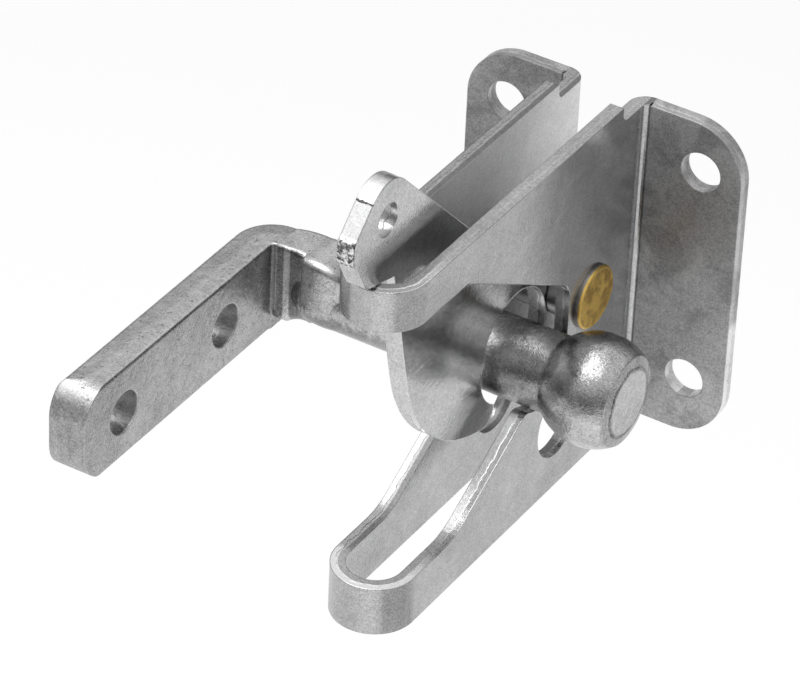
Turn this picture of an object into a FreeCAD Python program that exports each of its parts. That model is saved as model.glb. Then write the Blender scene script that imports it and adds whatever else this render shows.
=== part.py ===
import FreeCAD, Part
import math
import os
from FreeCAD import Vector

# Automatic gate latch, closed on its strike bar. Millimetres.
# The back face of the latch, which screws to the post, is the plane Y = 0, and the origin is the
# centre of its four screw holes. -Y points out of the post, Z is up, and X runs along the bar,
# towards its ball end. The latch is the same on both sides of X = 0.

# Folded sheet body
sheet = 2.4                 # sheet thickness
inner_gap = 9.0             # clear width between the two side walls
reach = 72.3                # back face to the outside of the front fold
wall_top = 30.7             # top edge of the side walls
wall_bottom = -32.0         # bottom edge of the side walls
upper_arm = 7.0             # height of the band over the mouth
lower_arm = 8.5             # height of the band under the mouth
bend_inside = 0.8           # inside radius where a wall turns into its flange
flange_half_width = 24.5
flange_top = 28.0
flange_bottom = -29.4
flange_corner = 9.0
relief_from_back = 9.1      # where the full wall height ends, short of the flange bend
relief_corner = 1.3
screw_spacing_x = 34.8
screw_spacing_z = 38.8
screw_hole_radius = 3.4

# Mouth and throat
mouth_slope = 30.0          # slope of both mouth edges, degrees from level
mouth_root_y = -53.9        # where the upper slope leaves the level edge of the upper arm
mouth_corner = 4.5          # rounded corner between the upper slope and the throat
ramp_drop = 3.4             # the entry ramp passes this far below the bar's axis, straight under it
ramp_foot_radius = 12.0     # hollow where the ramp runs out into the lower arm
lip_radius = 2.0            # rounded lip between the ramp and the throat
throat_clearance = 0.8      # gap all round between the bar and the throat
padlock_y = -23.2
padlock_z = -19.4
padlock_radius = 6.35

# Strike bar: round bar with a ball, forged flat and bent for the gate
bar_radius = 6.35
bar_y = -29.5
bar_z = -6.0
ball_radius = 9.1
ball_x = 16.4
ball_flat = 5.8             # flat end face, from the ball's centre
ball_flat_radius = 5.55
ball_flat_bevel = 0.5       # how far the bevel round the flat reaches back
ball_neck = 0.6
strap_thickness = 6.5
strap_height = 16.3
strap_x = -42.4             # middle of the strap's thickness
strap_end_y = -85.8
strap_end_corner = 5.5
strap_crown = 0.4           # fall of the long edges from the middle to the outer face
strap_ridge = 4.0           # rounding along the middle of those edges
strap_outer_edge = 0.9
strap_inner_edge = 0.5
strap_bend_inside = 0.5
run_y = -31.7               # middle of the flattened run that leads to the bar
strap_hole_y = -75.5
strap_hole_spacing = 27.6
strap_hole_radius = 3.65
full_round_x = -31.5        # the bar has its full round from here on
drawn_x = -37.5             # and is drawn down to this radius, inside the flattened part
drawn_radius = 3.6
# Sections of the forged part, each x, then front, back, bottom and top measured from the bar's
# axis, then the roundings of the front top, back top and bottom corners. First the flattened
# part that the strap's run goes over into:
flattened = [
    (-38.4, 5.4, 1.0, 8.1, 8.1, 0.6, 1.2, 1.0),
    (-36.5, 5.2, 1.6, 6.5, 8.1, 0.7, 1.1, 2.4),
    (-32.8, 5.2, 2.0, 5.8, 8.0, 0.9, 1.1, 3.0),
]
# then the block that stands between it and the round bar, and ends in a slope inside the bar:
block = [
    (-33.3, 6.15, 1.9, 5.0, 8.0, 1.3, 1.1, 3.8),
    (-27.0, 6.1, 2.4, 5.0, 7.1, 1.4, 1.4, 3.8),
    (-24.0, 4.0, 3.2, 4.0, 4.4, 1.5, 1.5, 1.5),
]
under_fall = 6.7            # the underside past the strap is drawn up to this far below the bar's axis
under_round = 2.4           # and rounded in front

# Lever: one flat plate that hooks over the bar
lever_thickness = 3.0
pivot_y = -15.3
pivot_z = -0.45
boss_gap = 0.4              # air between the boss and the bar
notch_play = 3.25           # the notch's radius beyond the bar's
notch_rise = 2.2            # the notch's centre above the bar's axis
lobe_radius = 29.9          # front of the hook, which ends in the rounded tip
lobe_y = -31.95
tip_ahead = 7.5             # centre of the tip, in front of the bar's axis
tip_drop = 6.43             # and below it
tip_radius = 2.5
stop_gap = 0.06             # air under the foot, at rest on the front fold
foot_slope = 14.0           # rise of the foot's underside towards the front, degrees
front_edge = 3.6            # the plate's front edge, behind the inside of the front fold
back_edge_offset = -18.4    # y + z along the lever's straight back edge
back_fillet = 8.0
tab_length = 6.4            # cord hole to the end of the tab and to its back edge
tab_corner = 6.0
tab_root_y = -77.35
toe_drop = 3.2              # upright edge below the tab's root
foot_front = 1.9            # the foot reaches this far past the front fold
foot_front_rise = 0.6       # rise of its rounded front corner
tab_hole_y = -68.5
tab_hole_radius = 2.7
heel_gap = 1.30             # the heel hangs this far behind a shackle in the padlock hole
heel_width = 7.9
heel_reach = 1.1            # and this far below the hole's centre
heel_shoulder = 6.05        # below the pivot, where the plate leaves the notch for the heel
heel_root = 10.55           # below the pivot, where the heel's front edge starts
heel_corner = 2.0

# Pivot rivet and its two spacers
rivet_radius = 2.75
rivet_clearance = 0.05      # radial, in the walls, the spacers and the lever
rivet_head_radius = 5.3
rivet_head_height = 0.9
rivet_head_bevel = 0.3
spacer_radius = 4.75
spacer_play = 0.1           # end play of the lever against each spacer

wall_out = inner_gap / 2 + sheet
wall_in = inner_gap / 2
throat_radius = bar_radius + throat_clearance
notch_radius = bar_radius + notch_play
boss_radius = math.hypot(bar_y - pivot_y, bar_z - pivot_z) - bar_radius - boss_gap
heel_front_y = padlock_y + padlock_radius + heel_gap
heel_back_y = heel_front_y + heel_width
heel_bottom_z = padlock_z - heel_reach


def yz(y, z, x=0.0):
    return Vector(x, y, z)


def line(a, b):
    return Part.LineSegment(a, b).toShape()


def turn(v, degrees):
    """v turned in its own YZ plane."""
    c, s = math.cos(math.radians(degrees)), math.sin(math.radians(degrees))
    return yz(v.y * c - v.z * s, v.y * s + v.z * c, v.x)


def outline(corners):
    """Closed wire through corners, each (point, rounding radius), in the plane they share."""
    points = [c[0] for c in corners]
    n = len(points)
    starts, ends, arcs = [], [], []
    for i, (p, radius) in enumerate(corners):
        before = (points[i - 1] - p).normalize()
        after = (points[(i + 1) % n] - p).normalize()
        if radius <= 0:
            starts.append(p)
            ends.append(p)
            arcs.append(None)
            continue
        half = before.getAngle(after) / 2
        cut = radius / math.tan(half)
        centre = p + (before + after).normalize() * (radius / math.sin(half))
        a, b = p + before * cut, p + after * cut
        middle = centre + (p - centre).normalize() * radius
        starts.append(a)
        ends.append(b)
        arcs.append(Part.Arc(a, middle, b).toShape())
    edges = []
    for i in range(n):
        if arcs[i]:
            edges.append(arcs[i])
        if ends[i].distanceToPoint(starts[(i + 1) % n]) > 1e-6:
            edges.append(line(ends[i], starts[(i + 1) % n]))
    return Part.Wire(edges)


def prism(wire, direction):
    return Part.Face(wire).extrude(direction)


def x_cylinder(radius, x0, x1, y, z):
    return Part.makeCylinder(radius, x1 - x0, Vector(x0, y, z), Vector(1, 0, 0))


def mirrored(shape):
    return shape.mirror(Vector(0, 0, 0), Vector(1, 0, 0))


def body_ribbon():
    """The folded sheet seen from above, as tall as the walls: flange, wall, front fold and back."""
    turn_y = -(bend_inside + sheet)
    flat_x = wall_out + bend_inside
    front_y = -reach + wall_out
    q = math.sqrt(0.5)
    bend_c = Vector(flat_x, turn_y, wall_bottom)

    def at(x, y):
        return Vector(x, y, wall_bottom)

    def bend(radius):
        start = at(flat_x - radius, turn_y)
        middle = bend_c + Vector(-radius * q, radius * q, 0)
        return start, Part.Arc(start, middle, at(flat_x, turn_y + radius)).toShape()

    outer_start, outer_bend = bend(bend_inside + sheet)
    inner_start, inner_bend = bend(bend_inside)
    half = Part.Wire(Part.sortEdges([
        line(at(flange_half_width, 0), at(flat_x, 0)),
        outer_bend,
        line(outer_start, at(wall_in, front_y)),
        Part.Arc(at(wall_in, front_y), at(wall_in * q, front_y - wall_in * q), at(0, front_y - wall_in)).toShape(),
        line(at(0, front_y - wall_in), at(0, -reach)),
        Part.Arc(at(0, -reach), at(wall_out * q, front_y - wall_out * q), at(wall_out, front_y)).toShape(),
        line(at(wall_out, front_y), inner_start),
        inner_bend,
        line(at(flat_x, -sheet), at(flange_half_width, -sheet)),
        line(at(flange_half_width, -sheet), at(flange_half_width, 0)),
    ])[0])
    solid = prism(half, Vector(0, 0, wall_top - wall_bottom))
    return solid.fuse(mirrored(solid)).removeSplitter()


def wall_outline():
    """Side view of a wall: full height from the front fold to the relief, then the flange's height."""
    return outline([
        (yz(-reach - 1, wall_top), 0),
        (yz(-reach - 1, wall_bottom), 0),
        (yz(-relief_from_back, wall_bottom), 0),
        (yz(-relief_from_back, flange_bottom), relief_corner),
        (yz(0, flange_bottom), 0),
        (yz(0, flange_top), 0),
        (yz(-relief_from_back, flange_top), relief_corner),
        (yz(-relief_from_back, wall_top), 0),
    ])


def mouth_outline():
    """The opening cut through both walls: level at the front, sloping in to the throat. Its own
    sharp lip is returned with it, and then the centre of the lip's rounding and where it starts."""
    slope = math.tan(math.radians(mouth_slope))
    arm_z = wall_top - upper_arm
    floor_z = wall_bottom + lower_arm
    throat_back = bar_y + throat_radius
    corner_z = arm_z - (throat_back - mouth_root_y) * slope
    ramp_z = bar_z - ramp_drop
    foot_y = bar_y - (ramp_z - floor_z) / slope
    # where the ramp meets the throat's arc, on the mouth side
    along = turn(yz(-1, 0), mouth_slope)
    across = yz(bar_y, ramp_z) - yz(bar_y, bar_z)
    b = across.dot(along)
    lip = yz(bar_y, ramp_z) + along * (-b + math.sqrt(b * b - across.dot(across) + throat_radius ** 2))
    # a circle that touches the ramp from below and the throat from outside
    under = across - turn(along, -90) * lip_radius
    b = under.dot(along)
    run = -b + math.sqrt(b * b - under.dot(under) + (throat_radius + lip_radius) ** 2)
    round_start = yz(bar_y, ramp_z) + along * run
    round_centre = yz(bar_y, bar_z) + under + along * run
    ramp = outline([
        (yz(-reach - 1, arm_z), 0),
        (yz(mouth_root_y, arm_z), 1.5),
        (yz(throat_back, corner_z), mouth_corner),
        (yz(throat_back, bar_z), 0),
        (yz(bar_y, bar_z), 0),
        (lip, 0),
        (yz(foot_y, floor_z), ramp_foot_radius),
        (yz(-reach - 1, floor_z), 0),
    ])
    return ramp, lip, round_centre, round_start


def make_body():
    body = body_ribbon().common(prism(wall_outline(), Vector(2 * flange_half_width, 0, 0)).translate(
        Vector(-flange_half_width, 0, 0)))
    width = 2 * wall_out + 2
    ramp, lip, round_centre, round_start = mouth_outline()
    mouth = prism(ramp, Vector(width, 0, 0)).translate(Vector(-width / 2, 0, 0))
    mouth = mouth.fuse(x_cylinder(throat_radius, -width / 2, width / 2, bar_y, bar_z)).removeSplitter()
    body = body.cut(mouth)
    bar = yz(bar_y, bar_z)
    round_end = bar + (round_centre - bar).normalize() * throat_radius
    sharp = outline([(round_start, 0), (lip, 0), (round_end, 0), (round_centre, 0)])
    sharp = prism(sharp, Vector(width, 0, 0)).translate(Vector(-width / 2, 0, 0))
    body = body.cut(sharp.cut(x_cylinder(lip_radius, -width, width, round_centre.y, round_centre.z)))
    body = body.cut(x_cylinder(padlock_radius, -width / 2, width / 2, padlock_y, padlock_z))
    body = body.cut(x_cylinder(rivet_radius + rivet_clearance, -width / 2, width / 2, pivot_y, pivot_z))
    flange = outline([
        (Vector(flange_half_width, 1, flange_top), flange_corner),
        (Vector(flange_half_width, 1, flange_bottom), flange_corner),
        (Vector(-flange_half_width, 1, flange_bottom), flange_corner),
        (Vector(-flange_half_width, 1, flange_top), flange_corner),
    ])
    keep = prism(flange, Vector(0, -2 - bend_inside - sheet, 0))
    walls = Part.makeBox(2 * wall_out, reach, wall_top - wall_bottom,
                         Vector(-wall_out, -reach, wall_bottom))
    body = body.common(keep.fuse(walls))
    for sx in (-1, 1):
        for sz in (-1, 1):
            body = body.cut(Part.makeCylinder(
                screw_hole_radius, sheet + 2,
                Vector(sx * screw_spacing_x / 2, -sheet - 1, sz * screw_spacing_z / 2), Vector(0, 1, 0)))
    return body.removeSplitter()


def tangent_point(outside, centre, radius, side):
    """Where the line from outside touches the circle, on the chosen side."""
    to_centre = centre - outside
    length = math.sqrt(to_centre.Length ** 2 - radius ** 2)
    angle = math.degrees(math.asin(radius / to_centre.Length))
    return outside + turn(to_centre.normalize(), side * angle) * length


def on_circle(centre, radius, degrees):
    return centre + turn(yz(radius, 0), degrees)


def arc_between(centre, radius, a, b):
    """Arc round centre from angle a to angle b, in degrees."""
    return Part.Arc(on_circle(centre, radius, a), on_circle(centre, radius, (a + b) / 2),
                    on_circle(centre, radius, b)).toShape()


def angle_of(point, centre):
    v = point - centre
    return math.degrees(math.atan2(v.z, v.y))


def make_lever():
    """Flat plate: tab over the front fold, hook round the front of the bar, heel behind it."""
    pivot = yz(pivot_y, pivot_z)
    notch = yz(bar_y, bar_z + notch_rise)
    tip = yz(bar_y - tip_ahead, bar_z - tip_drop)
    lobe = yz(lobe_y, tip.z + math.sqrt((lobe_radius - tip_radius) ** 2 - (tip.y - lobe_y) ** 2))

    # foot: it rests on the inner corner of the front fold's top edge
    fold_inside = -reach + wall_out - math.sqrt(wall_in ** 2 - (lever_thickness / 2) ** 2)
    rest = yz(fold_inside, wall_top + stop_gap)
    underside = math.tan(math.radians(foot_slope))
    front = rest + yz(front_edge, -front_edge * underside)
    toe_under = yz(-reach - foot_front / 2, rest.z + (rest.y + reach + foot_front / 2) * underside)
    toe_front = yz(-reach - foot_front, toe_under.z + foot_front_rise)

    # tab: a strip at 45 degrees, its end square to its back edge
    hole = yz(tab_hole_y, back_edge_offset - tab_hole_y - tab_length * math.sqrt(2))
    end_line = hole.z - hole.y + tab_length * math.sqrt(2)
    crown = yz((back_edge_offset - end_line) / 2, (back_edge_offset + end_line) / 2)
    root = yz(tab_root_y, tab_root_y + end_line)
    boss_top = pivot.z + boss_radius
    saddle = yz(back_edge_offset - boss_top, boss_top)

    # notch over the bar, and the line from it to the rounded tip
    hook_end = on_circle(notch, notch_radius, 203)
    hook_in = tangent_point(hook_end, tip, tip_radius, 1)
    touch = tangent_point(front, lobe, lobe_radius, -1)
    tip_low = lobe + (tip - lobe).normalize() * lobe_radius
    core = (touch + hook_end) * 0.5
    notch_back = on_circle(notch, notch_radius, 0)
    heel = outline([
        (notch_back, 0),
        (yz(notch_back.y, pivot.z - heel_shoulder), heel_corner),
        (yz(heel_front_y, pivot.z - heel_root), heel_corner),
        (yz(heel_front_y, heel_bottom_z), heel_corner),
        (yz(heel_back_y, heel_bottom_z), heel_corner),
        (yz(heel_back_y, pivot.z), 0),
        (yz(notch_back.y, pivot.z), 0),
    ])
    arm = outline([
        (front, 0),
        (toe_under, 2.0),
        (toe_front, 1.0),
        (root - yz(0, toe_drop), 1.0),
        (root, 0.4),
        (crown, tab_corner),
        (saddle, back_fillet),
        (yz(pivot.y, boss_top), 0),
        (pivot, 0),
        (notch, 0),
        (hook_end, 0),
        (core, 0),
        (touch, 0),
    ])
    hook = Part.Wire([
        line(core, hook_end),
        line(hook_end, hook_in),
        arc_between(tip, tip_radius, angle_of(hook_in, tip), angle_of(tip_low, tip)),
        arc_between(lobe, lobe_radius, angle_of(tip_low, lobe), angle_of(touch, lobe) % 360 - 360),
        line(touch, core),
    ])
    thick = Vector(lever_thickness, 0, 0)
    plate = prism(arm, thick).fuse([
        prism(hook, thick),
        prism(heel, thick),
        x_cylinder(boss_radius, 0, lever_thickness, pivot.y, pivot.z),
    ])
    plate = plate.cut(x_cylinder(notch_radius, -1, lever_thickness + 1, notch.y, notch.z))
    plate = plate.cut(x_cylinder(rivet_radius + rivet_clearance, -1, lever_thickness + 1, pivot.y, pivot.z))
    plate = plate.cut(x_cylinder(tab_hole_radius, -1, lever_thickness + 1, hole.y, hole.z))
    return plate.removeSplitter().translate(Vector(-lever_thickness / 2, 0, 0))


def make_rivet():
    """Shank through both walls, with a flat bevelled head on each side."""
    half = wall_out + rivet_head_height
    rim = rivet_head_radius - rivet_head_bevel
    profile = Part.makePolygon([
        Vector(-half, 0, 0),
        Vector(-half, rim, 0),
        Vector(-half + rivet_head_bevel, rivet_head_radius, 0),
        Vector(-wall_out, rivet_head_radius, 0),
        Vector(-wall_out, rivet_radius, 0),
        Vector(wall_out, rivet_radius, 0),
        Vector(wall_out, rivet_head_radius, 0),
        Vector(half - rivet_head_bevel, rivet_head_radius, 0),
        Vector(half, rim, 0),
        Vector(half, 0, 0),
        Vector(-half, 0, 0),
    ])
    rivet = Part.Face(profile).revolve(Vector(0, 0, 0), Vector(1, 0, 0), 360)
    return rivet.translate(Vector(0, pivot_y, pivot_z))


def make_spacer():
    """Sleeve on the rivet that keeps the lever in the middle, on the ball's side."""
    start = lever_thickness / 2 + spacer_play
    ring = x_cylinder(spacer_radius, start, wall_in, pivot_y, pivot_z)
    return ring.cut(x_cylinder(rivet_radius + rivet_clearance, start - 1, wall_in + 1, pivot_y, pivot_z))


def strap_section(place):
    """Flat section, slightly crowned; place(u, z) puts u, from -1 on the outer side to 1, and z in space."""
    h = strap_height / 2
    return outline([
        (place(1, -h), strap_inner_edge),
        (place(1, h), strap_inner_edge),
        (place(0, h), strap_ridge),
        (place(-1, h - strap_crown), strap_outer_edge),
        (place(-1, strap_crown - h), strap_outer_edge),
        (place(0, -h), strap_ridge),
    ])


def flare_section(x, front, back, bottom, top, front_top, back_top, under):
    """Rounded section across the bar, its sides measured from the bar's axis."""
    return outline([
        (Vector(x, bar_y - front, bar_z - bottom), under),
        (Vector(x, bar_y - front, bar_z + top), front_top),
        (Vector(x, bar_y + back, bar_z + top), back_top),
        (Vector(x, bar_y + back, bar_z - bottom), min(under, 0.48 * (front + back))),
    ])


def ball_end():
    """Round bar with its ball, turned about the X axis: hollow neck, sphere, bevel, flat end."""
    flat_x = ball_x + ball_flat
    neck_r = bar_radius + ball_neck
    neck_x = ball_x - math.sqrt((ball_radius + ball_neck) ** 2 - neck_r ** 2)
    bevel_x = flat_x - ball_flat_bevel
    bevel_r = math.sqrt(ball_radius ** 2 - (bevel_x - ball_x) ** 2)
    to_neck = Vector(neck_x - ball_x, neck_r, 0).normalize()
    touch = Vector(ball_x, 0, 0) + to_neck * ball_radius
    middle = Vector(neck_x, neck_r, 0) - (Vector(0, 1, 0) + to_neck).normalize() * ball_neck
    hollow = Part.Arc(Vector(neck_x, bar_radius, 0), middle, touch)
    # arc that leaves the full round along the bar
    run, fall = full_round_x - drawn_x, bar_radius - drawn_radius
    bow = (run ** 2 + fall ** 2) / (2 * fall)
    half = math.asin(run / bow) / 2
    drawn = Part.Arc(Vector(drawn_x, drawn_radius, 0),
                     Vector(full_round_x - bow * math.sin(half), bar_radius - bow * (1 - math.cos(half)), 0),
                     Vector(full_round_x, bar_radius, 0))
    sphere = Part.Arc(touch, Vector(ball_x, ball_radius, 0), Vector(bevel_x, bevel_r, 0))
    profile = Part.Wire([
        line(Vector(drawn_x, 0, 0), Vector(drawn_x, drawn_radius, 0)),
        drawn.toShape(),
        line(Vector(full_round_x, bar_radius, 0), Vector(neck_x, bar_radius, 0)),
        hollow.toShape(),
        sphere.toShape(),
        line(Vector(bevel_x, bevel_r, 0), Vector(flat_x, ball_flat_radius, 0)),
        line(Vector(flat_x, ball_flat_radius, 0), Vector(flat_x, 0, 0)),
        line(Vector(flat_x, 0, 0), Vector(drawn_x, 0, 0)),
    ])
    return Part.Face(profile).revolve(Vector(0, 0, 0), Vector(1, 0, 0), 360)


def make_strike():
    """Forged strike: ball, round bar, flare, flat run, bend and drilled strap."""
    t = strap_thickness / 2
    bar = ball_end().translate(Vector(0, bar_y, bar_z))
    bend_x = strap_x + t + strap_bend_inside
    bend_y = run_y - t - strap_bend_inside
    strap = prism(strap_section(lambda u, z: Vector(strap_x + u * t, strap_end_y, bar_z + z)),
                  Vector(0, bend_y - strap_end_y, 0))
    tip = outline([
        (yz(strap_end_y, bar_z - strap_height / 2), strap_end_corner),
        (yz(strap_end_y, bar_z + strap_height / 2), strap_end_corner),
        (yz(bend_y, bar_z + strap_height / 2), 0),
        (yz(bend_y, bar_z - strap_height / 2), 0),
    ])
    strap = strap.common(prism(tip, Vector(4 * t, 0, 0)).translate(Vector(strap_x - 2 * t, 0, 0)))
    for k in (0, 1):
        y = strap_hole_y + k * strap_hole_spacing
        strap = strap.cut(x_cylinder(strap_hole_radius, strap_x - 2 * t, strap_x + 2 * t, y, bar_z))
    corner = Part.Face(strap_section(lambda u, z: Vector(strap_x + u * t, bend_y, bar_z + z)))
    bend = corner.revolve(Vector(bend_x, bend_y, 0), Vector(0, 0, 1), -90)
    run = prism(strap_section(lambda u, z: Vector(bend_x, run_y - u * t, bar_z + z)),
                Vector(flattened[0][0] - bend_x, 0, 0))
    flat = Part.makeLoft([flare_section(*station) for station in flattened], True, False)
    drawn = strap.fuse([bend, run, flat])
    # the underside is drawn up and rounded between the strap and the bar
    first, length, depth = strap_x + t, block[0][0] - strap_x - t, strap_height
    round_y = bar_y - flattened[0][1] + under_round
    round_z = bar_z - under_fall + under_round
    below = Part.makeBox(length, 4 * t, depth, Vector(first, round_y - 2 * t, round_z - depth))
    below = below.cut([
        x_cylinder(under_round, first - 1, first + length + 1, round_y, round_z),
        Part.makeBox(length, 3 * t, under_round, Vector(first, round_y, round_z - under_round)),
    ])
    drawn = drawn.cut(below)
    shoulder = Part.makeLoft([flare_section(*station) for station in block], True, False)
    return drawn.fuse([shoulder, bar]).removeSplitter()


parts = {
    "latch_body": make_body(),
    "lever": make_lever(),
    "pivot_rivet": make_rivet(),
    "spacer_ball_side": make_spacer(),
    "spacer_strap_side": mirrored(make_spacer()),
    "strike_bar": make_strike(),
}

os.makedirs("parts", exist_ok=True)
for name, shape in parts.items():
    solids = shape.Solids
    if len(solids) == 1:
        shape = solids[0]
    print(name, "solids", len(solids), "valid", shape.isValid(), "volume", round(shape.Volume, 1))
    shape.exportStep("parts/" + name + ".step")
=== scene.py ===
import math

import bpy
from mathutils import Matrix, Vector

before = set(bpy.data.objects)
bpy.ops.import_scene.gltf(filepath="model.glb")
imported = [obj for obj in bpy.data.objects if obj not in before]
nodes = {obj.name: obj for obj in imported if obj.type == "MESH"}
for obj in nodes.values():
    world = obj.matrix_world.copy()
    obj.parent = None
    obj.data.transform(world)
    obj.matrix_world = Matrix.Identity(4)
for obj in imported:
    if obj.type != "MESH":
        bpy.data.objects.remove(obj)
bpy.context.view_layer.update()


# Folded body. One strip of 2.4 mm steel sheet, blanked with its mouth, throat and holes, folded
# round a soft front and turned out at the back into two screw flanges. Zinc-plated after the
# punch: satin faces with a faint rolling grain, and sheared edges in two tones.

def new_finish(name):
    """A material with only its surface shader, and that shader's tree."""
    material = bpy.data.materials.new(name)
    material.use_nodes = True
    tree = material.node_tree
    tree.nodes.clear()
    out = tree.nodes.new("ShaderNodeOutputMaterial")
    steel = tree.nodes.new("ShaderNodeBsdfPrincipled")
    tree.links.new(steel.outputs[0], out.inputs["Surface"])
    return material, tree, steel


def wear_only(node, material):
    """Gives a CAD node this one material."""
    node.data.materials.clear()
    node.data.materials.append(material)


def put(tree, kind, values=None, **settings):
    """Adds a shader node; a value is a number or the socket that feeds it."""
    made = tree.nodes.new("ShaderNode" + kind)
    for key, value in settings.items():
        setattr(made, key, value)
    for key, value in (values or {}).items():
        if isinstance(value, bpy.types.NodeSocket):
            tree.links.new(value, made.inputs[key])
        else:
            made.inputs[key].default_value = value
    return made


def calc(tree, operation, *terms):
    return put(tree, "Math", dict(enumerate(terms)), operation=operation).outputs[0]


def chain(tree, operation, terms):
    result = terms[0]
    for term in terms[1:]:
        result = calc(tree, operation, result, term)
    return result


def total(tree, *terms):
    return chain(tree, "ADD", terms)


def product(tree, *terms):
    return chain(tree, "MULTIPLY", terms)


def most(tree, *terms):
    return chain(tree, "MAXIMUM", terms)


def minus(tree, value, taken):
    return calc(tree, "SUBTRACT", value, taken)


def outside(tree, mask):
    """1 where the mask is 0, and 0 where it is 1."""
    return minus(tree, 1.0, mask)


def swing(tree, noise, amount, middle=0.5):
    """Noise made to swing round 0 by an amount."""
    return product(tree, minus(tree, noise, middle), amount)


def radius(tree, a, b):
    """The length of a line with the legs a and b."""
    return calc(tree, "SQRT", total(tree, product(tree, a, a), product(tree, b, b)))


def band(tree, value, low, high, out_low=0.0, out_high=1.0):
    """Runs smoothly from out_low to out_high while value goes from low to high, up or down."""
    made = put(tree, "MapRange", {"Value": value, "From Min": low, "From Max": high,
                                  "To Min": out_low, "To Max": out_high},
               interpolation_type="SMOOTHSTEP")
    return made.outputs[0]


def between(tree, value, rise, fall):
    """1 between two soft limits; each is given as where it starts and where it ends."""
    return product(tree, band(tree, value, *rise), band(tree, value, *fall))


def millimetres(tree):
    """Object coordinates in millimetres: the vector, and its three parts."""
    place = put(tree, "TexCoord").outputs["Object"]
    scaled = put(tree, "VectorMath", {0: place, "Scale": 1000.0}, operation="SCALE").outputs[0]
    parts = put(tree, "SeparateXYZ", {0: scaled}).outputs
    return scaled, parts[0], parts[1], parts[2]


def facing(tree):
    """The three parts of the direction that a face looks in."""
    return put(tree, "SeparateXYZ", {0: put(tree, "NewGeometry").outputs["True Normal"]}).outputs


def grain(tree, place, per_mm, detail=3.0, rough=0.55, stretch=(1, 1, 1), turned=(0, 0, 0), warp=0.0):
    """Noise at so many cells to the millimetre, stretched and turned as a rolled surface is."""
    mapped = put(tree, "Mapping", {"Vector": place, "Rotation": turned, "Scale": stretch}).outputs[0]
    made = put(tree, "TexNoise", {"Vector": mapped, "Scale": per_mm, "Detail": detail,
                                  "Roughness": rough, "Distortion": warp})
    return made.outputs["Fac"]


def zinc(tree, place, blotch, mottle, speck, scratch, turned=(0, 0, 0)):
    """What every plated face has: clouds, mottle, specks and a few fine scratches. Returns the
    shade round 1, and a height round 0.5."""
    noise_swing = 4.4       # brings the noise's narrow middle out to about one on each side
    clouds = grain(tree, place, 0.085, 2.0)
    patches = grain(tree, place, 0.75, 4.0, 0.62)
    specks = grain(tree, place, 3.6, 2.0, 0.6)
    lines = grain(tree, place, 1.0, 2.0, 0.5, (0.10, 0.16, 3.4), turned)
    lines = band(tree, lines, 0.63, 0.70)
    shade = total(tree, 1.0,
                  swing(tree, clouds, noise_swing * blotch),
                  swing(tree, patches, noise_swing * mottle),
                  swing(tree, specks, noise_swing * speck),
                  product(tree, lines, scratch))
    height = total(tree, product(tree, patches, 0.6), product(tree, specks, 0.4),
                   product(tree, lines, -0.12))
    return shade, height


def plate(tree, steel, tone, shade, height, roughness, depth, painted_edge_highlight=0.25, edge_radius=0.00028):
    """Zinc plating: shade multiplies the tone, height is in steps of depth metres, and the arrises
    are broken by a small radius, with a painted highlight and a little less roughness there."""
    true_normal = put(tree, "NewGeometry").outputs["True Normal"]
    soft = put(tree, "Bevel", {"Radius": edge_radius}, samples=6).outputs[0]
    flat = put(tree, "VectorMath", {0: soft, 1: true_normal}, operation="DOT_PRODUCT").outputs["Value"]
    arris = band(tree, flat, 0.995, 0.86)
    shade = total(tree, shade, product(tree, arris, painted_edge_highlight))
    colour = put(tree, "VectorMath", {0: tone, "Scale": shade}, operation="SCALE").outputs[0]
    tree.links.new(colour, steel.inputs["Base Color"])
    roughness = minus(tree, roughness, product(tree, arris, 0.06))
    tree.links.new(roughness, steel.inputs["Roughness"])
    bump = put(tree, "Bump", {"Height": height, "Normal": soft, "Distance": depth, "Strength": 1.0})
    tree.links.new(bump.outputs[0], steel.inputs["Normal"])
    steel.inputs["Metallic"].default_value = 1.0


wall_inside = 4.5           # mm, from the middle plane to a wall
sheet = 2.4
fold_centre = -65.4         # mm along Y, the centre of the front fold
flange_root = (7.4, 8.2)    # mm from the middle plane, where a wall has turned into its flange
edge_on = (0.5, 0.3)        # how far a face may still look sideways to count as a cut edge
sheet_tone = (0.40, 0.40, 0.402)
sheet_roughness = 0.20
sheet_relief = 0.00003      # metres

material, tree, steel = new_finish("plated_sheet_body")
place, x, y, z = millimetres(tree)
shade, height = zinc(tree, place, blotch=0.14, mottle=0.11, speck=0.30, scratch=0.10,
                     turned=(0.0, 0.0, 0.35))
across, along, upright = [calc(tree, "ABSOLUTE", part) for part in facing(tree)]
wide = calc(tree, "ABSOLUTE", x)

# how far through the sheet a point of a sheared edge lies: 0 on the inner face, 1 on the outer
past_fold = calc(tree, "MINIMUM", minus(tree, y, fold_centre), 0.0)
out = radius(tree, x, past_fold)
through_wall = calc(tree, "DIVIDE", minus(tree, out, wall_inside), sheet)
through_flange = calc(tree, "DIVIDE", y, -sheet)
in_flange = band(tree, wide, *flange_root)
through = put(tree, "Mix", {0: in_flange, 2: through_wall, 3: through_flange}).outputs[0]

# edges of a wall face away from X, those of a flange away from Y, and the fold's up or down
fold_edge = band(tree, upright, 0.20, 0.40)
wall_edge = product(tree, band(tree, across, *edge_on),
                    between(tree, y, (fold_centre, fold_centre + 0.4), (-3.0, -3.6)))
flange_edge = product(tree, band(tree, along, *edge_on), in_flange)
sheared = most(tree, fold_edge, wall_edge, flange_edge)

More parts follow.
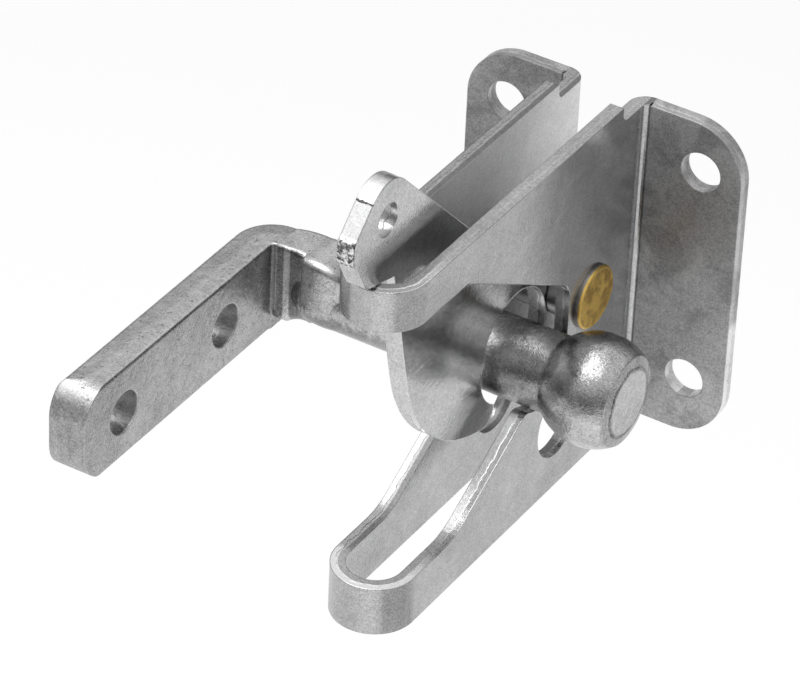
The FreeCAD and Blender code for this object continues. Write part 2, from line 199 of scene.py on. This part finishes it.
# the punch cuts the outer half of an edge smooth and tears the inner half
wander = swing(tree, grain(tree, place, 0.5, 2.0), 0.5)
torn = band(tree, total(tree, through, wander), 0.62, 0.52)
torn_grain = grain(tree, place, 2.2, 4.0, 0.7, (1.0, 1.0, 0.35))
tear = product(tree, sheared, torn)
shade = total(tree, shade, product(tree, sheared, 0.22),
              product(tree, tear, swing(tree, torn_grain, 0.9, 0.42)))
height = total(tree, height, product(tree, tear, torn_grain, 2.6))

# painted highlight on the two entry ramps, most of all on the one on the ball's side
ramp_highlight = product(tree, sheared, band(tree, upright, 0.97, 0.93), band(tree, z, -6.0, -8.0))
shade = total(tree, shade, product(tree, ramp_highlight, band(tree, x, -3.0, 3.0, 0.05, 0.80)))

# the wall on the ball's side has a burnished outer half to its edge, brightened further by a
# painted highlight towards the front fold, with a thin dark line at the arris; the wall on the
# strap's side has a painted shadow, a dark strip along the inner part of its edge
strap_side = product(tree, band(tree, x, -3.0, -4.0), band(tree, y, -66.0, -64.0),
                     outside(tree, in_flange))
burnish_and_highlight = product(tree, minus(tree, sheared, strap_side), band(tree, through, 0.46, 0.52),
                    band(tree, y, -58.0, -67.0, 0.16, 1.25))
shade = total(tree, shade, most(tree, burnish_and_highlight, 0.0))
outer_line = band(tree, through, 0.96, 0.99)
inner_edge_shadow = band(tree, total(tree, through, product(tree, wander, 0.2)), 0.42, 0.34)
arris_line_and_edge_shadow = put(tree, "Mix", {0: strap_side, 2: outer_line, 3: inner_edge_shadow}).outputs[0]
arris_line_and_edge_shadow = product(tree, arris_line_and_edge_shadow, sheared)

# painted shade in the crease beside each bend and on the flanks of the front fold, and the dark
# clouds on the flanges
crease_shade = product(tree, between(tree, wide, (7.55, 7.70), (8.05, 7.85)),
                 between(tree, y, (-3.0, -2.8), (-1.2, -1.6)))
flange_clouds = product(tree, in_flange,
                band(tree, grain(tree, place, 0.11, 4.0, 0.6, warp=0.6), 0.47, 0.62))
round_fold = calc(tree, "DIVIDE", wide, most(tree, out, 1.0))
fold_flank_shade = product(tree, band(tree, round_fold, 0.62, 0.70), band(tree, y, -64.5, -66.5),
                outside(tree, sheared))
dark = total(tree, product(tree, arris_line_and_edge_shadow, 0.50), product(tree, crease_shade, 0.55),
             product(tree, flange_clouds, 0.26), product(tree, fold_flank_shade, 0.22))
shade = product(tree, shade, outside(tree, dark))

# painted light on the inside of the walls along the upper arm, which is also rougher there
inner_wall_light = product(tree, band(tree, wide, wall_inside + 0.4, wall_inside + 0.1),
                 band(tree, across, 0.7, 0.9), band(tree, z, 15.0, 19.0))
shade = total(tree, shade, product(tree, inner_wall_light, 0.9))
roughness = total(tree, sheet_roughness, product(tree, tear, 0.26), product(tree, inner_wall_light, 0.30),
                  product(tree, in_flange, 0.26), swing(tree, grain(tree, place, 0.3, 3.0), 0.16))
plate(tree, steel, sheet_tone, shade, height, roughness, sheet_relief)
wear_only(nodes["latch_body"], material)


# Lever. One flat plate, 3 mm thick: the tab with its cord hole, the hook that hangs in front of
# the bar, and the heel behind it. Blanked in one blow, so its edge is burnished on one side and
# torn on the other, but for the tab's end, which is bright right across.

lever_thickness = 3.0
lever_tone = (0.47, 0.47, 0.472)
lever_roughness = 0.11
lever_relief = 0.00003      # metres
crack_place = -26.9         # mm up the tab's end, as y + z
patch_low = (-40.3, -39.4)
patch_high = (-34.6, -35.8)

material, tree, steel = new_finish("plated_plate_lever")
place, x, y, z = millimetres(tree)
shade, height = zinc(tree, place, blotch=0.10, mottle=0.10, speck=0.30, scratch=0.12,
                     turned=(0.8, 0.0, 0.0))
blanked = band(tree, calc(tree, "ABSOLUTE", facing(tree)[0]), *edge_on)
through = calc(tree, "DIVIDE", total(tree, x, lever_thickness / 2), lever_thickness)
wander = swing(tree, grain(tree, place, 0.35, 2.0), 0.7)
torn = band(tree, total(tree, through, wander), 0.58, 0.50)

# the tab's end has a crack below its corner and a torn patch at its root; the foot's front below
# the patch is as smooth as the faces
up_end = total(tree, y, z)
in_front = product(tree, blanked, band(tree, y, -66.0, -69.0))
tab_end = product(tree, in_front, band(tree, up_end, -36.0, -35.0))
patch = product(tree, in_front, between(tree, up_end, patch_low, patch_high))
foot_front = product(tree, in_front, band(tree, up_end, *reversed(patch_low)))
crack_wander = swing(tree, grain(tree, place, 1.2, 2.0), 0.8)
off_crack = calc(tree, "ABSOLUTE", total(tree, up_end, -crack_place, crack_wander))
crack = product(tree, tab_end, band(tree, off_crack, 0.28, 0.14))
above_crack = product(tree, tab_end, band(tree, up_end, crack_place - 0.1, crack_place + 0.1))
arris_line = product(tree, most(tree, tab_end, patch), band(tree, x, 1.22, 1.36))

torn = product(tree, torn, outside(tree, most(tree, tab_end, foot_front)))
torn_grain = grain(tree, place, 1.9, 4.0, 0.72)
tear = product(tree, blanked, torn)
pocks = band(tree, grain(tree, place, 1.3, 2.0), 0.36, 0.30)
shreds = grain(tree, place, 1.6, 3.0, 0.6, warp=0.8)
shade = total(tree, shade,
              product(tree, blanked, 0.16),
              product(tree, foot_front, -0.22),
              product(tree, tab_end, minus(tree, 0.26, product(tree, pocks, 0.35))),
              product(tree, above_crack, 0.30),
              product(tree, patch, band(tree, shreds, 0.42, 0.58, -0.85, 0.7)),
              product(tree, tear, swing(tree, torn_grain, 1.0, 0.45)))
dark = most(tree, product(tree, crack, 0.85), product(tree, arris_line, 0.6))
shade = product(tree, shade, outside(tree, dark))
height = total(tree, height, product(tree, tear, torn_grain, 3.0), product(tree, patch, shreds, 9.0),
               product(tree, crack, -4.0))
roughness = total(tree, lever_roughness, product(tree, most(tree, tear, tab_end, patch), 0.30))
plate(tree, steel, lever_tone, shade, height, roughness, lever_relief)
wear_only(nodes["lever"], material)


# Two spacers. Short sleeves cut from plated tube, which keep the lever in the middle between the
# walls; their faces are turned.

spacer_tone = (0.45, 0.45, 0.452)
spacer_relief = 0.00002     # metres

material, tree, steel = new_finish("plated_tube_spacers")
place = millimetres(tree)[0]
shade, height = zinc(tree, place, blotch=0.05, mottle=0.08, speck=0.06, scratch=0.05)
rings = grain(tree, place, 1.0, 1.0, 0.5, (9.0, 0.4, 0.4))
shade = total(tree, shade, swing(tree, rings, 0.20))
height = total(tree, height, product(tree, rings, 0.5))
roughness = total(tree, 0.26, product(tree, rings, 0.12))
plate(tree, steel, spacer_tone, shade, height, roughness, spacer_relief)
for name in ("spacer_ball_side", "spacer_strap_side"):
    wear_only(nodes[name], material)


# Pivot rivet. Brass-coloured, headed cold over both walls, so each face is lightly dished by the
# set, scratched and darker in its hollows, with a painted highlight round its rim.

rivet_axis = (-15.3, -0.45)     # mm, Y and Z
head_radius = 5.3
tarnished_brass = (0.34, 0.205, 0.040, 1.0)
plain_brass = (0.72, 0.47, 0.085, 1.0)
rubbed_and_highlit_brass = (0.95, 0.66, 0.20, 1.0)
grey_rim = (0.36, 0.34, 0.31, 1.0)


def mix_colour(tree, share, first, second):
    made = put(tree, "Mix", {0: share, 6: first, 7: second}, data_type="RGBA")
    return made.outputs[2]


material, tree, steel = new_finish("worn_brass_rivet")
place, _, y, z = millimetres(tree)
from_axis = radius(tree, minus(tree, y, rivet_axis[0]), minus(tree, z, rivet_axis[1]))
tarnish = grain(tree, place, 0.45, 4.0, 0.6, warp=0.4)
dents = grain(tree, place, 1.1, 3.0, 0.6)
nicks = band(tree, grain(tree, place, 1.0, 2.0, 0.5, (0.3, 0.5, 4.0), (0.7, 0.0, 0.0)), 0.60, 0.68)
rim = band(tree, from_axis, head_radius - 0.75, head_radius - 0.2)
colour = mix_colour(tree, band(tree, tarnish, 0.36, 0.66), tarnished_brass, plain_brass)
# painted highlight round the rim, and bright scratches
scratches_and_rim_highlight = most(tree, product(tree, rim, 0.44), product(tree, nicks, 0.40))
colour = mix_colour(tree, scratches_and_rim_highlight, colour, rubbed_and_highlit_brass)
# the side of the head shows the plating of the steel below
head_side = band(tree, calc(tree, "ABSOLUTE", facing(tree)[0]), *edge_on)
colour = mix_colour(tree, head_side, colour, grey_rim)
tree.links.new(colour, steel.inputs["Base Color"])
tree.links.new(band(tree, tarnish, 0.3, 0.7, 0.46, 0.28), steel.inputs["Roughness"])
height = total(tree, product(tree, dents, 1.6), product(tree, nicks, -0.4), product(tree, rim, 0.8))
soft = put(tree, "Bevel", {"Radius": 0.0003}, samples=6).outputs[0]
bump = put(tree, "Bump", {"Height": height, "Normal": soft, "Distance": 0.00006, "Strength": 1.0})
tree.links.new(bump.outputs[0], steel.inputs["Normal"])
steel.inputs["Metallic"].default_value = 1.0
wear_only(nodes["pivot_rivet"], material)


# Strike bar. A half-inch round bar, upset into a ball at one end and hammered flat at the other,
# then bent and drilled for the gate. Forged, so it is mottled all over, pitted where the hammer
# left it and rubbed shinier on the ball, with a painted highlight along its edges.

bar_axis = (-29.5, -6.0)    # mm, Y and Z
strike_tone = (0.44, 0.44, 0.442)
strike_roughness = 0.27
strike_relief = 0.00006     # metres
# spans of the painted highlight and the painted shade in the inner corner
corner_highlight_span = (-37.3, -37.0), (-35.9, -36.2)   # mm along X, upright in the inner corner
corner_shade_span = (-39.2, -38.9), (-33.6, -34.2)

material, tree, steel = new_finish("plated_forging_strike")
place, x, y, z = millimetres(tree)
shade, height = zinc(tree, place, blotch=0.14, mottle=0.16, speck=0.36, scratch=0.05,
                     turned=(0.0, 0.5, 0.2))
_, side_y, side_z = facing(tree)
to_front = band(tree, side_y, -0.3, -0.6)
scale_marks = grain(tree, place, 0.42, 5.0, 0.66, warp=0.5)

# painted light brightens the hammered top of the strap and of the run, which carries most of the pits
hammered_lit_top = product(tree, band(tree, side_z, 0.6, 0.9), band(tree, x, -27.0, -31.0))
pits = product(tree, band(tree, grain(tree, place, 1.5, 3.0, 0.6), 0.36, 0.28),
               total(tree, 0.30, product(tree, hammered_lit_top, 0.7)))

# the ball's end was faced off: painted shade for a groove round the flat and a bevel outside it
from_axis = radius(tree, minus(tree, y, bar_axis[0]), minus(tree, z, bar_axis[1]))
uneven = total(tree, from_axis, swing(tree, grain(tree, place, 0.35, 2.0), 0.9))
groove_shade = product(tree, between(tree, uneven, (5.05, 5.45), (6.05, 5.65)), band(tree, x, 21.0, 21.5))
bevel_shade = product(tree, between(tree, uneven, (5.5, 5.8), (7.7, 7.2)), band(tree, x, 19.0, 20.0))

# the strap's end of the bar is duller than the ball; the end of the strap is rougher, and painted
# light lifts it
dull_end = band(tree, x, -22.0, -32.0)
rough_lit_strap_end = product(tree, to_front, band(tree, x, -38.0, -39.2))

# painted shade under the flare and in the inner corner, beside a painted highlight on an upright
# strip there; the wedge that the hammer left over the flare has a painted highlight
ragged = total(tree, z, swing(tree, scale_marks, 9.0))
under_flare_shade = product(tree, band(tree, ragged, -6.0, -8.5), between(tree, x, (-36.0, -34.0), (-8.0, -14.0)))
corner_highlight = product(tree, to_front, between(tree, x, *corner_highlight_span))
corner_shade = minus(tree, product(tree, to_front, between(tree, x, *corner_shade_span)), corner_highlight)
wedge_highlight = product(tree, to_front, between(tree, side_z, (0.25, 0.45), (0.93, 0.8)),
                between(tree, x, (-35.5, -34.0), (-22.0, -24.0)))

shade = total(tree, shade,
              swing(tree, scale_marks, 0.55),
              product(tree, pits, -0.30),
              product(tree, groove_shade, -0.52),
              product(tree, bevel_shade, -0.25),
              product(tree, dull_end, -0.17),
              product(tree, hammered_lit_top, 0.50),
              product(tree, rough_lit_strap_end, 0.12),
              product(tree, wedge_highlight, 0.5),
              product(tree, corner_highlight, 0.25))
dark = most(tree, product(tree, under_flare_shade, 0.42), product(tree, corner_shade, 0.5))
shade = product(tree, shade, outside(tree, dark))
height = total(tree, height, product(tree, scale_marks, 2.2), product(tree, pits, -2.0))
roughness = total(tree, strike_roughness,
                  swing(tree, scale_marks, 0.30),
                  band(tree, x, 6.0, 9.0, 0.0, -0.05),
                  product(tree, rough_lit_strap_end, 0.25))
plate(tree, steel, strike_tone, shade, height, roughness, strike_relief,
      painted_edge_highlight=0.22, edge_radius=0.00045)
wear_only(nodes["strike_bar"], material)


# The studio: a pale floor and sky, a large soft lamp overhead, a weaker one from the right and a
# small one in front that lights only the floor; then the camera, where the photograph's stood.

floor_z = -0.30
floor_half = 4.0
floor_pale = 0.93
floor_shade_far_out = 0.45           # far out
floor_own_light = 0.10
sky_low = 0.22
sky_high = 0.84

floor_mesh = bpy.data.meshes.new("studio_floor")
floor_mesh.from_pydata([(-floor_half, -floor_half, floor_z), (floor_half, -floor_half, floor_z),
                        (floor_half, floor_half, floor_z), (-floor_half, floor_half, floor_z)],
                       [], [(0, 1, 2, 3)])
floor = bpy.data.objects.new("studio_floor", floor_mesh)
bpy.context.scene.collection.objects.link(floor)
floor_paint, tree, paper = new_finish("pale_floor_paint")
# painted light: pale round the object and greyer far out, as a pool of lamplight on the floor
place = put(tree, "TexCoord").outputs["Object"]
ground = put(tree, "VectorMath", {0: place}, operation="LENGTH").outputs["Value"]
lit_floor_tone = band(tree, ground, 0.8, 2.2, floor_pale, floor_shade_far_out)
floor_colour = put(tree, "CombineColor", {0: lit_floor_tone, 1: lit_floor_tone, 2: lit_floor_tone}).outputs[0]
tree.links.new(floor_colour, paper.inputs["Base Color"])
paper.inputs["Roughness"].default_value = 0.9
paper.inputs["Specular IOR Level"].default_value = 0.1
# a touch of its own light, for whoever looks at it straight or in the metal, makes it white
rays = put(tree, "LightPath").outputs
seen = most(tree, rays["Is Camera Ray"], rays["Is Glossy Ray"], rays["Is Transmission Ray"])
paper.inputs["Emission Color"].default_value = (1.0, 1.0, 1.0, 1.0)
tree.links.new(product(tree, seen, floor_own_light), paper.inputs["Emission Strength"])
floor_mesh.materials.append(floor_paint)

world = bpy.data.worlds.new("studio_world")
world.use_nodes = True
tree = world.node_tree
# dim along the horizon, pale overhead
upward_look = put(tree, "SeparateXYZ", {0: put(tree, "TexCoord").outputs["Generated"]}).outputs[2]
sky = band(tree, upward_look, 0.12, 0.75, sky_low, sky_high)
sky_colour = put(tree, "CombineColor", {0: sky, 1: sky, 2: sky}).outputs[0]
tree.links.new(sky_colour, tree.nodes["Background"].inputs["Color"])
tree.nodes["Background"].inputs["Strength"].default_value = 1.0
bpy.context.scene.world = world


def soft_lamp(name, size, power, stand, target):
    """A square area lamp that faces its target."""
    lamp = bpy.data.lights.new(name, "AREA")
    lamp.shape = "SQUARE"
    lamp.size = size
    lamp.energy = power
    holder = bpy.data.objects.new(name, lamp)
    aim = (Vector(target) - Vector(stand)).to_track_quat("-Z", "Y")
    holder.matrix_world = Matrix.Translation(stand) @ aim.to_matrix().to_4x4()
    bpy.context.scene.collection.objects.link(holder)


latch_middle = (0.0, -0.03, 0.0)
soft_lamp("overhead_lamp", 1.0, 7.0, (-0.26, -0.28, 1.15), latch_middle)
soft_lamp("right_lamp", 0.9, 2.0, (1.3, -0.1, 0.35), latch_middle)
soft_lamp("low_front_lamp", 0.26, 0.20, (0.13, -0.42, -0.12), (0.13, -0.42, floor_z))

camera_place = (0.3274, -0.6160, 0.4729)
camera_azimuth = math.radians(30.54)
camera_height = math.radians(35.42)
camera_roll = math.radians(2.638)
back = Vector((math.sin(camera_azimuth) * math.cos(camera_height),
               -math.cos(camera_azimuth) * math.cos(camera_height),
               math.sin(camera_height)))
level = Vector((math.cos(camera_azimuth), math.sin(camera_azimuth), 0.0))
upward = back.cross(level)
right = level * math.cos(camera_roll) + upward * math.sin(camera_roll)
top = upward * math.cos(camera_roll) - level * math.sin(camera_roll)
lens = bpy.data.cameras.new("photograph_camera")
lens.sensor_fit = "HORIZONTAL"
lens.sensor_width = 36.0
lens.lens = 241.7
lens.clip_start = 0.01
lens.clip_end = 50.0
camera = bpy.data.objects.new("photograph_camera", lens)
turn = Matrix((right, top, back)).transposed().to_4x4()
camera.matrix_world = Matrix.Translation(camera_place) @ turn
bpy.context.scene.collection.objects.link(camera)
bpy.context.scene.camera = camera
bpy.context.scene.view_settings.view_transform = "Standard"

bpy.context.view_layer.update()
